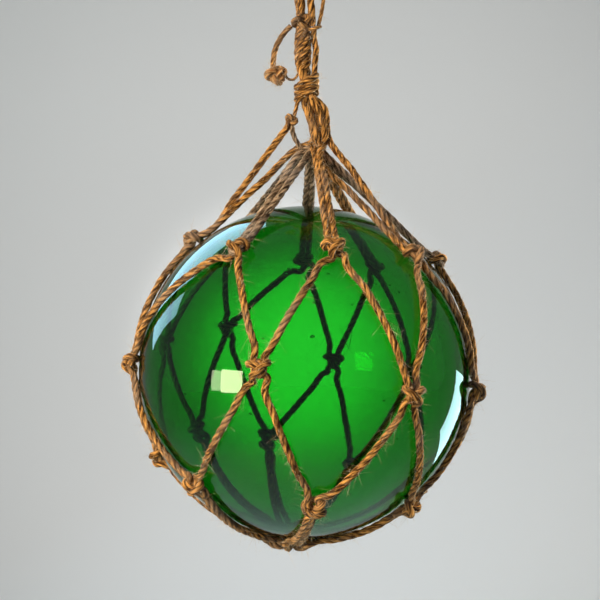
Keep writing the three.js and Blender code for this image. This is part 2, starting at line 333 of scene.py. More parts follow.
LOOP_ROUTE = np.array([
    (-0.0022, 0, 0.2672), (-0.0024, 0, 0.279), (-0.0052, 0, 0.29), (-0.0106, 0, 0.301), (-0.0128, 0, 0.3125),
    (-0.009, 0, 0.3229), (0, 0, 0.3272), (0.009, 0, 0.3229), (0.0128, 0, 0.3125), (0.0112, 0, 0.301),
    (0.0068, 0, 0.29), (0.0047, 0, 0.279), (0.0053, 0, 0.268), (0.0058, 0, 0.2582),
])
THIN_LOOP = 0.0032
THIN_LOOP_ROUTE = np.array([
    (0.0098, 0.0025, 0.257), (0.0122, 0.0034, 0.267), (0.0144, 0.0046, 0.279), (0.0166, 0.0052, 0.292),
    (0.0164, 0.0052, 0.305), (0.011, 0.0052, 0.318), (0, 0.0052, 0.3256), (-0.011, 0.0052, 0.318),
    (-0.0154, 0.0052, 0.305), (-0.0114, 0.0052, 0.291), (-0.0066, 0.0052, 0.279), (-0.005, 0.0051, 0.271),
    (-0.0046, 0.005, 0.2656),
])
TAIL = 0.0045
TAIL_ROUTE = np.array([
    (-0.0102, -0.0004, 0.2586), (-0.0146, -0.0008, 0.254), (-0.0194, -0.0014, 0.247),
    (-0.0226, -0.0018, 0.2386), (-0.0234, -0.002, 0.2298),
])
TAIL_KNOT_PLACE = np.array((-0.0216, -0.002, 0.2216))
TAIL_KNOT_SIZE = np.array((0.018, 0.014, 0.0156))
TAIL_END_ROUTE = [(-0.0233, -0.0020, 0.2312), (-0.0230, -0.0020, 0.2270), (-0.0216, -0.0020, 0.2225)]
KNOT_ROPE = 0.0050


def overhand(place, size, diameter, turned, tilt):
    """The path of a pulled-up overhand knot: x = sin t + 2 sin 2t, z = cos t - 2 cos 2t and y = -sin 3t. It
    is turned in its face and tilted about the height, and then sized to fill the knot's box."""
    t = np.linspace(0.12, 2 * np.pi - 0.12, 40)
    x, y, z = np.sin(t) + 2 * np.sin(2 * t), -np.sin(3 * t), np.cos(t) - 2 * np.cos(2 * t)
    a, b = math.radians(turned), math.radians(tilt)
    x, z = x * math.cos(a) - z * math.sin(a), x * math.sin(a) + z * math.cos(a)
    x, y = x * math.cos(b) - y * math.sin(b), x * math.sin(b) + y * math.cos(b)
    shape = np.column_stack([x, y, z])
    middle = (shape.max(0) + shape.min(0)) / 2
    reach = (shape.max(0) - shape.min(0)) / 2
    return place + (shape - middle) / reach * (np.asarray(size) - diameter) / 2


loop_rope = laid_rope(LOOP_ROUTE, LOOP)
thin_rope = laid_rope(THIN_LOOP_ROUTE, THIN_LOOP, lay=4.0)
tail_rope = laid_rope(TAIL_ROUTE, TAIL)
knot_ropes = [
    laid_rope(overhand(TAIL_KNOT_PLACE, TAIL_KNOT_SIZE, KNOT_ROPE, 20, 25), KNOT_ROPE),
    laid_rope(overhand(TAIL_KNOT_PLACE, TAIL_KNOT_SIZE * 0.82, KNOT_ROPE, 140, -40), KNOT_ROPE),
    laid_rope(TAIL_END_ROUTE, TAIL),
]
hanging_loop = rope_piece("rope_eye", [loop_rope], BROWN_ROPE)
hanging_loop_thin = rope_piece("rope_eye_thin", [thin_rope], BROWN_ROPE)
side_tail = rope_piece("rope_tail", [tail_rope], BROWN_ROPE)
side_tail_knot = rope_piece("frayed_knot", knot_ropes, SANDY_ROPE)
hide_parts("hanging_loop")
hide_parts("hanging_loop_thin")
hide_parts("side_tail")
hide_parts("side_tail_knot")


def declared_rope(piece, rope, diameter, **facts):
    """Takes the line that a free rope's skin follows, moved to the ball's place; nothing is done with it."""
    line = rope["line"] + BALL_CENTRE


declared_rope(hanging_loop, loop_rope, LOOP, far_end="object", lay="taut")
declared_rope(hanging_loop_thin, thin_rope, THIN_LOOP, far_end="object", lay="taut")
declared_rope(side_tail, tail_rope, TAIL, far_end="knot", lay="hanging", with_pieces=[side_tail_knot])

# The glass ball
# One blown ball of green bottle glass, sealed, with a wall of about 4.5 mm round air. Breath and gravity
# left it a little out of round. The glass holds seeds, small bubbles drawn out as it was turned, and threads.
BALL_RADIUS = (BALL_HIGH[2] - BALL_LOW[2]) / 2
WALL = 0.0045
# How far the glass leaves a true ball, in low waves and in fine ripples
WOBBLE = 0.0005
RIPPLE = 0.00005
SEEDS = 70
# The least and most half width of small and of large seeds, and how many times as long as wide each is
SMALL_SEED = (0.00025, 0.0008)
LARGE_SEED = (0.0008, 0.0012)
SEED_DRAWN = 1.8
GLASS_ROUND = 144
GLASS_RINGS = 96
# The larger seeds at the front, and the threads drawn into the glass there, by azimuth and latitude
LARGE_SEEDS = [(18, 57.5), (3.5, 29), (-30, 21.5), (2.5, 17.5), (-8, 40), (24, 34)]
THREADS = [
    [(11.9, 21), (13.2, 17.5), (14.2, 14), (15.8, 11.5)],
    [(16.5, 21.5), (15.6, 17), (14.4, 13.5), (12.4, 11)],
]
THREAD_WIDTH = 0.0005


def towards(azimuth, latitude):
    """The direction from the ball's centre: azimuth 0 is -Y and grows towards +X. Both are in degrees."""
    a, b = math.radians(azimuth), math.radians(latitude)
    return np.array((math.cos(b) * math.sin(a), -math.cos(b) * math.cos(a), math.sin(b)))


def blown_ball(radius, inwards):
    """A ball of rings about the vertical axis: its radius plus a wobble of three low waves and a finer
    ripple."""
    down = np.linspace(0, np.pi, GLASS_RINGS + 1)[1:-1, None]
    around = 2 * np.pi * np.arange(GLASS_ROUND) / GLASS_ROUND
    wave = np.cos(2 * around + 0.7) * np.sin(down) ** 2 + 0.6 * np.cos(3 * around + 2.0) * np.sin(down) ** 3
    wave = wave * 0.5 - 0.4 * np.cos(3 * down + 0.4)
    ripple = np.sin(9 * down + 2 * np.sin(3 * around)) * np.sin(down) ** 2
    far = radius + (WOBBLE if inwards else 0.4 * WOBBLE) * (wave - 1) + RIPPLE * ripple
    rings = np.stack([far * np.sin(down) * np.cos(around), far * np.sin(down) * np.sin(around),
                      far * np.cos(down)], -1)
    if inwards:
        rings = rings[:, ::-1]
    faces = skin_faces(len(rings), GLASS_ROUND, False, 0)
    poles = np.array([(0, 0, rings[0, :, 2].mean()), (0, 0, rings[-1, :, 2].mean())])
    return np.vstack([rings.reshape(-1, 3), poles]), [face[::-1] for face in faces]


def seed_bubbles(count, first):
    """Small egg-shaped hollows in the wall, drawn out along the parallels, each a ball of three rings of
    eight. They lie anywhere, and the large ones follow them at places of their own."""
    heading = chance.normal(size=(count, 3))
    heading /= np.linalg.norm(heading, axis=1)[:, None]
    heading = np.vstack([heading, [towards(*spot) for spot in LARGE_SEEDS]])
    east = np.cross((0, 0, 1), heading)
    east /= np.linalg.norm(east, axis=1)[:, None]
    north = np.cross(heading, east)
    small = chance.uniform(*SMALL_SEED, count)
    large = chance.uniform(*LARGE_SEED, len(LARGE_SEEDS))
    size = np.concatenate([small, large])[:, None, None, None]
    count = len(heading)
    down = np.array([0.25, 0.5, 0.75])[:, None] * np.pi
    around = 2 * np.pi * np.arange(8) / 8
    eastward = (SEED_DRAWN * np.sin(down) * np.cos(around))[None, ..., None]
    northward = (np.sin(down) * np.sin(around))[None, ..., None]
    outward = (np.cos(down) * np.ones(8))[None, ..., None]
    middle = heading * (BALL_RADIUS - WALL / 2)
    reach = eastward * east[:, None, None] + northward * north[:, None, None]
    reach = reach + outward * heading[:, None, None]
    rings = middle[:, None, None] + size * reach
    poles = middle[:, None] + size[:, 0] * heading[:, None] * np.array((1.0, -1.0))[None, :, None]
    points = np.concatenate([rings.reshape(count, -1, 3), poles], 1)
    stride = 3 * 8 + 2
    faces = [face for i in range(count) for face in skin_faces(3, 8, False, first + i * stride)]
    return points.reshape(-1, 3), faces


def thread_hollows(first):
    """Hair-fine hollows along curves in the wall, each a tube of six-sided rings that narrows to its ends."""
    points, faces = [], []
    for path in THREADS:
        line = smooth_line([towards(*spot) * (BALL_RADIUS - WALL / 2) for spot in path], 0.001)
        along, side, across = carried_frame(line)
        width = THREAD_WIDTH / 2 * np.sin(np.linspace(0.15, np.pi - 0.15, len(line)))[:, None, None]
        a = (2 * np.pi * np.arange(6) / 6)[None, :, None]
        rings = line[:, None] + width * (np.cos(a) * side[:, None] + np.sin(a) * across[:, None])
        faces += [face[::-1] for face in skin_faces(len(line), 6, False, first)]
        points += [rings.reshape(-1, 3), line[[0, -1]]]
        first += len(line) * 6 + 2
    return np.vstack(points), faces


outer_points, outer_faces = blown_ball(BALL_RADIUS, False)
inner_points, inner_faces = blown_ball(BALL_RADIUS - WALL, True)
inner_faces = [[index + len(outer_points) for index in face] for face in inner_faces]
bubble_points, bubble_faces = seed_bubbles(SEEDS, len(outer_points) + len(inner_points))
glass_points = np.vstack([outer_points, inner_points, bubble_points])
thread_points, thread_faces = thread_hollows(len(glass_points))
glass_mesh = bpy.data.meshes.new("green_ball")
glass_mesh.from_pydata((np.vstack([glass_points, thread_points]) + BALL_CENTRE).tolist(), [],
                       outer_faces + inner_faces + bubble_faces + thread_faces)
glass_mesh.shade_smooth()

green_glass, wire, shader = new_material("green_glass")
shader.inputs["Base Color"].default_value = (0.5, 0.95, 0.55, 1)
shader.inputs["Roughness"].default_value = 0.015
shader.inputs["IOR"].default_value = 1.5
shader.inputs["Transmission Weight"].default_value = 1.0
absorption = wire.add("ShaderNodeVolumeAbsorption", {}, {"Color": (0.01, 0.70, 0.10, 1), "Density": 420.0})
output = green_glass.node_tree.nodes["Material Output"]
wire.tree.links.new(absorption.socket, output.inputs["Volume"])
glass_ball = new_piece("green_ball", glass_mesh, green_glass)
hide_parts("glass_ball")

# The net
# One cord tied round the ball with a netting needle: eight meshes round and three rows of knots. In each knot
# the bight from above stands under the cord from below, which comes up through it, round it and down again.
ROPE = 0.0054
GLASS_GAP = 0.0005
MESHES_ROUND = 8
UPPER_KNOTS = [(-33, 47), (14, 48), (58, 44), (97, 39), (146, 36), (180, 38), (222, 43), (262, 49)]
MIDDLE_KNOTS = [(-85, 3), (-14, 7), (35, -2), (77, -5), (136, -5), (169, -3), (210, 10), (242, 7)]
LOWER_KNOTS = [(-47, -35), (4, -41), (59, -47), (106, -44), (155, -44), (196, -32), (229, -27), (262, -31)]
# A bight and the cord that is bent round it, in cord diameters: to the right, up, and out from the glass
BIGHT_PATH = [(-0.72, 1.35, 0.75), (-0.68, 0.5, 1.0), (-0.55, -0.35, 1.15), (0, -0.9, 1.2),
              (0.55, -0.35, 1.15), (0.68, 0.5, 1.0), (0.72, 1.35, 0.75)]
CORD_PATH = [(-0.85, -1.4, 0.6), (-0.35, -0.75, 0.5), (0.05, -0.1, 0.9), (0.2, 0.35, 1.75), (0.9, 0.75, 1.8),
             (1.3, 0.8, 1.0), (0.5, 0.85, 0.3), (-0.6, 0.85, 0.3), (-1.3, 0.7, 0.9), (-0.85, 0.3, 1.85),
             (-0.1, -0.25, 2.05), (0.6, -0.65, 1.85), (0.95, -1.1, 1.2), (0.95, -1.6, 0.7)]
# How far from a knot's middle a leg starts, and how much each point of the knot moves, in cord diameters
KNOT_LEAVE = 2.4
KNOT_VARIES = 0.07
KNOT_TIGHT = 0.93
KNOT_LEAN = 18


def knot_path(knot, path, lean):
    """Points of a path over the glass at a knot, leaned in its own face: sideways and up along the glass, and
    out from it, each in cord diameters."""
    out = towards(*knot)
    up = np.array((0.0, 0.0, 1.0)) - out * out[2]
    up /= np.linalg.norm(up)
    right = np.cross(up, out)
    x, y, z = (np.array(path) * ROPE * KNOT_TIGHT).T
    c, s = math.cos(math.radians(lean)), math.sin(math.radians(lean))
    spot = out * BALL_RADIUS + (c * x - s * y)[:, None] * right + (s * x + c * y)[:, None] * up
    spot /= np.linalg.norm(spot, axis=1)[:, None]
    return spot * (BALL_RADIUS + GLASS_GAP + z)[:, None]


def leg(start, end, first, last):
    """Points over the glass on the shortest way between two directions, from a length after the start to a
    length before the end."""
    axis = np.cross(start, end)
    angle = math.atan2(np.linalg.norm(axis), start @ end)
    axis /= np.linalg.norm(axis)
    orbit = BALL_RADIUS + GLASS_GAP + ROPE / 2
    turn = np.linspace(first / orbit, angle - last / orbit, 5)[:, None]
    return orbit * (np.cos(turn) * start + np.sin(turn) * np.cross(axis, start))


leans = {row: chance.uniform(-KNOT_LEAN, KNOT_LEAN, MESHES_ROUND) for row in ("upper", "middle", "lower")}
# The knots whose cord goes round the bight the other way, by the row of the knot
TURNED_OVER = {"upper": (1, 2, 5, 7), "lower": (0, 3, 4), "middle": (1, 4, 6)}


def bent_cord(row, i):
    """The bent cord's path at a knot, each point moved a little. Turned over, it is run from its other end
    with right and left exchanged."""
    path = np.array(CORD_PATH)
    if i in TURNED_OVER[row]:
        path = path[::-1] * (-1, 1, 1)
    return path + chance.uniform(-KNOT_VARIES, KNOT_VARIES, path.shape)


def mesh_band(upper, lower, bights_on, upper_row, lower_row):
    """The closed path of one row of meshes: down from a knot where the cord is bent round a bight, through
    the bight of the next knot below, and up again. Lower knot i + bights_on hangs from upper knot i."""
    leave = KNOT_LEAVE * ROPE
    points = []
    for i in range(MESHES_ROUND):
        low = (i + bights_on) % MESHES_ROUND
        before = (i - 1 + bights_on) % MESHES_ROUND
        points.append(leg(towards(*lower[before]), towards(*upper[i]), leave, leave))
        points.append(knot_path(upper[i], bent_cord(upper_row, i), leans[upper_row][i]))
        points.append(leg(towards(*upper[i]), towards(*lower[low]), leave, leave))
        points.append(knot_path(lower[low], BIGHT_PATH, leans[lower_row][low]))
    return np.vstack(points)


upper_band = laid_rope(mesh_band(UPPER_KNOTS, MIDDLE_KNOTS, 1, "upper", "middle"), ROPE, closed=True)
lower_band = laid_rope(mesh_band(MIDDLE_KNOTS, LOWER_KNOTS, 0, "middle", "lower"), ROPE, closed=True)
upper_net = rope_piece("net_upper_meshes", [upper_band], BROWN_ROPE)
lower_net = rope_piece("net_lower_meshes", [lower_band], BROWN_ROPE)
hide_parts("rope_net")
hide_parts("rope_net")

# The net's upper ropes
# From each upper knot both legs of a bight run up off the glass to the gather, and over the hanging rope's
# lowest bend. At the left one leg is tied off in a small knot, and at the right one runs up into the collar.
# A paler, greyer copy of the brown rope: painted grey sheen, for the ropes that catch it.
SHEEN_GREY_ROPE = rope_material("sheen_grey_rope", (0.60, 0.40, 0.24), (0.055, 0.030, 0.016), (0.014, 0.008, 0.005),
                          (0.42, 0.35, 0.30))
PAIR = 0.0056
BEND_PLACE = np.array((0.010, 0, 0.1795))
BEND_WIDTH = 0.0116
BEND_TURN = 60
# How far a bight over the bend reaches to each side and down, and how much its place varies along and down
OVER_REACH = 0.0045
OVER_DROP = 0.007
OVER_ALONG = 0.0012
OVER_SINK = 0.002
STRAY_KNOT = np.array((-0.0097, -0.003, 0.1875))
# Where the legs of each bight, the one of the smaller azimuth first, reach the gather
LEG_TOPS = [
    ((-0.0012, -0.0040, 0.1655), (0.0022, -0.0085, 0.1625)),
    ((0.0076, -0.0095, 0.1640), (0.0110, -0.0110, 0.1640)),
    ((0.0128, -0.0070, 0.1570), (0.0172, -0.0020, 0.1784)),
    ((0.0125, -0.0020, 0.1660), (0.0135, 0.0030, 0.1640)),
    ((0.0110, 0.0055, 0.1610), (0.0085, 0.0080, 0.1610)),
    ((0.0070, 0.0085, 0.1590), (0.0035, 0.0080, 0.1590)),
    ((0.0005, 0.0060, 0.1630), (-0.0025, 0.0040, 0.1640)),
    ((-0.0040, 0.0030, 0.1660), (-0.0045, -0.0005, 0.1680)),
]
LONG_END = 2
TIED_END = 7
BROWN_ENDS = (1, 2, 4, 7)
LONG_END_ROUTE = [
    (0.0055, -0.0060, 0.2055), (0.0100, -0.0050, 0.2020), (0.0146, -0.0030, 0.1972),
    (0.0160, -0.0022, 0.1915), (0.0164, -0.0020, 0.185),
]
FRAYED_END = 0.0046
FRAYED_END_ROUTE = [
    (0.0090, -0.0060, 0.1620), (0.0135, -0.0105, 0.1545), (0.0150, -0.0125, 0.1470),
    (0.0180, -0.0130, 0.1385),
]


def sidestep(knot, length):
    """A knot's direction moved sideways along its parallel by a length on the glass: the length over the
    parallel's radius is the angle."""
    azimuth, latitude = knot
    parallel = BALL_RADIUS * math.cos(math.radians(latitude))
    return towards(azimuth + math.degrees(length / parallel), latitude)


def taut_leg(start, top):
    """Points of a rope pulled from the glass to a point above it: over the glass until the straight line to
    the point only grazes it, then along that line."""
    orbit = BALL_RADIUS + GLASS_GAP + ROPE / 2
    far = np.linalg.norm(top)
    axis = np.cross(start, top)
    axis /= np.linalg.norm(axis)
    first = KNOT_LEAVE * ROPE / orbit
    leave = math.atan2(np.linalg.norm(np.cross(start, top)), start @ top) - math.acos(min(1, orbit / far))
    turn = np.linspace(first, max(leave, first + 0.02), 4)[:, None]
    on_glass = orbit * (np.cos(turn) * start + np.sin(turn) * np.cross(axis, start))
    return np.vstack([on_glass, on_glass[-1] + (top - on_glass[-1]) * np.linspace(0.3, 1, 3)[:, None]])


def upper_rope(i):
    """One bight: up its right leg, over the hanging rope's bend, and down its left leg to the knot. The bight
    that is tied off starts at the small knot, and the long one starts at the bend and ends in the collar."""
    tops = [np.array(top) for top in LEG_TOPS[i]]
    if i == TIED_END:
        tops[0] = STRAY_KNOT
    side = towards(BEND_TURN, 0)
    if towards(UPPER_KNOTS[i][0], 0) @ side < 0:
        side = -side
    middle = BEND_PLACE + towards(90 + BEND_TURN, 0) * chance.uniform(-OVER_ALONG, OVER_ALONG)
    down = (0, 0, OVER_DROP)
    over = np.array([middle + side * OVER_REACH - down, middle - (0, 0, chance.uniform(0, OVER_SINK)),
                     middle - side * OVER_REACH - down])
    left = taut_leg(sidestep(UPPER_KNOTS[i], -PAIR / 2), tops[0])
    right = taut_leg(sidestep(UPPER_KNOTS[i], PAIR / 2), tops[1])
    bight = knot_path(UPPER_KNOTS[i], BIGHT_PATH, leans["upper"][i])
    if i == LONG_END:
        return laid_rope(np.vstack([over[1:][::-1], left[::-1], bight, right, LONG_END_ROUTE[::-1]]), ROPE)
    points = np.vstack([left[::-1], bight, right, over])
    return laid_rope(points, ROPE, closed=i != TIED_END)


upper_ropes = [upper_rope(i) for i in range(MESHES_ROUND)]
frayed_end = laid_rope(FRAYED_END_ROUTE, FRAYED_END, wander=0.0005)
brown_ropes = [*(upper_ropes[i] for i in BROWN_ENDS), frayed_end]
# These upper ropes wear the rope with painted grey sheen.
sheen_grey_ropes = [upper_ropes[i] for i in range(MESHES_ROUND) if i not in BROWN_ENDS]
brown_legs = rope_piece("net_upper_ropes", brown_ropes, BROWN_ROPE)
sheen_grey_legs = rope_piece("net_sheen_grey_ropes", sheen_grey_ropes, SHEEN_GREY_ROPE)
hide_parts("rope_net")
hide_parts("rope_net")

# The net's lower ropes and their ring
# Two legs run from each lower knot to a ring of the same cord under the ball and round it.
RING_PLACE = (-90, -85)
RING_RADIUS = 0.010
RING_PAIR_ANGLE = 12.5
RING_LEAVE = 0.009
# Where a cord goes round the ring: its distance from the ring's middle, and its height in cord diameters
OVER_RING = [(0.0175, 1.15), (0.0115, 1.62), (0.0058, 1.5), (0.0046, 0.9), (0.0085, 0.42), (0.0165, 0.46)]
ring_axis = towards(*RING_PLACE)
ring_right = np.cross(ring_axis, (0.0, 1.0, 0.0))
ring_right /= np.linalg.norm(ring_right)
ring_up = np.cross(ring_axis, ring_right)


def by_ring(angle, distance, height):
    """A point over the glass at an angle and distance round the ring's middle, and a height in cord
    diameters."""
    spot = ring_axis * BALL_RADIUS + distance * (math.cos(angle) * ring_right + math.sin(angle) * ring_up)
    return spot / np.linalg.norm(spot) * (BALL_RADIUS + GLASS_GAP + height * ROPE)


def lower_rope(i):
    """Closed: the bent cord of the knot, down to the ring, round it from left to right, and up to the knot
    again. The ring's angles grow to the left."""
    heading = towards(LOWER_KNOTS[i][0], 0)
    middle = math.atan2(heading @ ring_up, heading @ ring_right)
    side = math.radians(RING_PAIR_ANGLE)
    round_ring = [by_ring(middle + side * t, *spot) for t, spot in zip(np.linspace(1, -1, 6), OVER_RING)]
    first, last = round_ring[0], round_ring[-1]
    leave = KNOT_LEAVE * ROPE
    knot = towards(*LOWER_KNOTS[i])
    down = leg(knot, first / np.linalg.norm(first), leave, RING_LEAVE)
    up = leg(last / np.linalg.norm(last), knot, RING_LEAVE, leave)
    round_bight = knot_path(LOWER_KNOTS[i], bent_cord("lower", i), leans["lower"][i])
    return laid_rope(np.vstack([round_bight, down, round_ring, up]), ROPE, closed=True)


ring_angles = np.linspace(0, 2 * np.pi, 25)[:-1]
ring_rope = laid_rope([by_ring(a, RING_RADIUS, 1.0) for a in ring_angles], ROPE, closed=True)
lower_ropes = [lower_rope(i) for i in range(MESHES_ROUND)]
lower_legs = rope_piece("net_lower_ropes", [*lower_ropes, ring_rope], BROWN_ROPE)
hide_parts("rope_net")

# The hanging rope
# One rope: up through the net's bights in a bend, both parts through a collar of three turns, and then laid
# together up to the crown knot, with strands round both. A thinner strand and a few ends are tied in beside.
COLLAR = np.array((0.0014, 0, 0.203))
COLLAR_WIDTH = 0.0195
COLLAR_ROPE = 0.0048
COLLAR_TURNS = 3
COLLAR_PITCH = 0.0044
COLLAR_SLOPE = 0.0034
LAID_AXIS = np.array((-0.0013, 0, 0))
LAID_FOOT = 0.229
LAID_TOP = 0.257
LAID_TURNS = 0.8
# The two main parts: how thick, how far off the axis, and at how many degrees the first starts
MAIN_ROPE = 0.0070
MAIN_OFF = 0.0022
MAIN_START = 60
# Heights over the collar's foot at which the two parts are drawn together, in it and above it
IN_COLLAR = 0.004
ABOVE_COLLAR = 0.016
LAID_STRANDS = 6
LAID_STRAND = 0.0047
LAID_OFF = 0.0044
# The strands start this far below the foot of the laid stretch, and rise this much further than it does.
STRAND_BELOW = 0.004
STRAND_LONGER = 0.006
CROWN = np.array((-0.0026, 0, 0.2615))
CROWN_SIZE = (0.0160, 0.0140, 0.0140)
CROWN_ROPE = 0.0050
FRONT_BIGHT = 0.0062
FRONT_BIGHT_ROUTE = [
    (0.0000, -0.0040, 0.2075), (0.0026, -0.0052, 0.1970), (0.0058, -0.0062, 0.1860),
    (0.0086, -0.0066, 0.1775), (0.0106, -0.0064, 0.1718), (0.0136, -0.0056, 0.1712),
    (0.0150, -0.0048, 0.1764), (0.0138, -0.0044, 0.1850), (0.0112, -0.0046, 0.1930),
    (0.0074, -0.0050, 0.2010), (0.0045, -0.0045, 0.2075),
]
END_TIE = 0.0026
END_TIE_ROUTE = [
    (0.0118, 0.0020, 0.2582), (0.0082, -0.0040, 0.2566), (0.0036, -0.0022, 0.2556), (0.0038, 0.0030, 0.2562),
    (0.0082, 0.0050, 0.2576),
]
SIDE_STRAND = 0.0048
SIDE_STRAND_ROUTE = [
    (0.0085, -0.002, 0.2085), (0.0078, -0.0005, 0.216), (0.0072, 0, 0.226), (0.0080, -0.001, 0.234),
    (0.0088, -0.0012, 0.241), (0.0074, 0, 0.249), (0.0066, 0, 0.2575),
]
LEFT_TIE = 0.0032
LEFT_TIE_ROUTE = [
    (-0.0082, -0.0040, 0.1900), (-0.0066, -0.0050, 0.1955), (-0.0048, -0.0065, 0.2025),
    (0.0005, -0.0078, 0.2080),
]
STRAY_TIE = 0.0040
STRAY_TIE_ROUTE = [
    (-0.0098, -0.0030, 0.1850), (-0.0082, -0.0040, 0.1775), (-0.0045, -0.0035, 0.1705),
    (-0.0005, -0.0030, 0.1640),
]
STRAY_KNOT_SIZE = (0.0105, 0.009, 0.0125)
STRAY_KNOT_ROPE = 0.0036
LINK = 0.0022
LINK_ROUTE = [
    (-0.0150, -0.002, 0.2235), (-0.0125, -0.002, 0.2195), (-0.0085, -0.0015, 0.2185),
    (-0.0045, -0.001, 0.223), (-0.0025, 0, 0.2285),
]


def main_path():
    """Down the first part's helix, into the collar, round the half circle of the bend, and up the second
    part's helix."""
    bend_along = towards(90 + BEND_TURN, 0)
    half = np.linspace(0, np.pi, 7)[:, None]
    half_circle = -np.cos(half) * bend_along - np.sin(half) * (0, 0, 1)
    lowest = BEND_PLACE + half_circle * BEND_WIDTH / 2
    share = np.linspace(0, 1, 16)[:, None]
    parts = []
    for start in (0, np.pi):
        a = start + 2 * np.pi * LAID_TURNS * share + math.radians(MAIN_START)
        helix = LAID_AXIS + MAIN_OFF * (np.cos(a) * (1, 0, 0) + np.sin(a) * (0, 1, 0))
        parts.append(helix + (0, 0, LAID_FOOT) + share * (0, 0, LAID_TOP - LAID_FOOT))
    inside = [COLLAR + side * bend_along * BEND_WIDTH / 4 + (0, 0, IN_COLLAR) for side in (-1, 1)]
    above = [COLLAR + side * bend_along * BEND_WIDTH / 4 + (0, 0, ABOVE_COLLAR) for side in (-1, 1)]
    return np.vstack([parts[1][::-1], above[0], inside[0], lowest, inside[1], above[1], parts[0]])


def laid_strand(start):
    """One of the strands laid round both parts above the collar: a helix that closes in at its two ends by
    the third power of the way from its middle."""
    share = np.linspace(0, 1, 14)[:, None]
    a = start + 2 * np.pi * LAID_TURNS * share
    far = LAID_OFF * (1 - 0.5 * np.abs(2 * share - 1) ** 3)
    helix = LAID_AXIS + far * (np.cos(a) * (1, 0, 0) + np.sin(a) * (0, 1, 0))
    rise = LAID_TOP - LAID_FOOT + STRAND_LONGER
    return helix + (0, 0, LAID_FOOT - STRAND_BELOW) + share * (0, 0, rise)


def collar_path():
    """A helix round the two parts, each turn leaned so that its front rises to the right."""
    a = np.linspace(-0.3, 2 * np.pi * COLLAR_TURNS + 0.3, 16 * COLLAR_TURNS)
    far = (COLLAR_WIDTH - COLLAR_ROPE) / 2
    x, y = far * np.cos(a), far * np.sin(a)
    z = COLLAR_ROPE / 2 + COLLAR_PITCH * a / (2 * np.pi) + COLLAR_SLOPE * np.cos(a)
    return COLLAR + np.column_stack([x, y, z])


hanging_ropes = [
    laid_rope(main_path(), MAIN_ROPE),
    *(laid_rope(laid_strand(2 * np.pi * i / LAID_STRANDS), LAID_STRAND, lay=3) for i in range(LAID_STRANDS)),
    laid_rope(END_TIE_ROUTE, END_TIE, closed=True),
    laid_rope(FRONT_BIGHT_ROUTE, FRONT_BIGHT),
    laid_rope(collar_path(), COLLAR_ROPE),
    laid_rope(overhand(CROWN, CROWN_SIZE, CROWN_ROPE, 35, 10), CROWN_ROPE),
    laid_rope(SIDE_STRAND_ROUTE, SIDE_STRAND, wander=0.0005),
    laid_rope(LEFT_TIE_ROUTE, LEFT_TIE, wander=0.0003),
    laid_rope(LINK_ROUTE, LINK, wander=0.0003),
    laid_rope(overhand(STRAY_KNOT, STRAY_KNOT_SIZE, STRAY_KNOT_ROPE, -20, 0), STRAY_KNOT_ROPE),
]
stray_tie = laid_rope(STRAY_TIE_ROUTE, STRAY_TIE, wander=0.0003)
hanging_rope = rope_piece("hanging_rope_laid", hanging_ropes, BROWN_ROPE)
# The stray tie wears the rope with painted grey sheen.
sheen_grey_tie = rope_piece("hanging_sheen_grey_tie", [stray_tie], SHEEN_GREY_ROPE)
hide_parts("hanging_rope")
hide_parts("hanging_rope")

# Loose fibres
# Plant fibre works loose all along the cord: short, curled, pale hairs that stand off it. They are densest
# on the frayed knot and on the frayed end at the gather.
HAIR_WIDTH = 0.0002
HAIR_PARTS = 5
HAIR_SHORTEST = 0.0012
HAIR_MOSTLY_SHORT = 1.8
# How far from its rope's middle a fibre is rooted, in the rope's radius, and how much it leans off the rope
HAIR_ROOT = 0.75
HAIR_LIFT = (0.1, 0.75)
HAIR_CURL = 0.7
HAIR_MOST_CURL = 0.8
HAIR_TAPER = 0.75
HAIR_OVER_GLASS = 0.0002
PALE_FIBRE, wire, shader = new_material("pale_fibre")
place = wire.add("ShaderNodeTexCoord", {}, {}, 3)
fibre_colour = place.noise(400.0, 2.0).between(0.4, 0.6).mixed((0.50, 0.30, 0.13, 1), (0.92, 0.80, 0.60, 1))
wire.tree.links.new(fibre_colour.socket, shader.inputs["Base Color"])
shader.inputs["Roughness"].default_value = 0.6


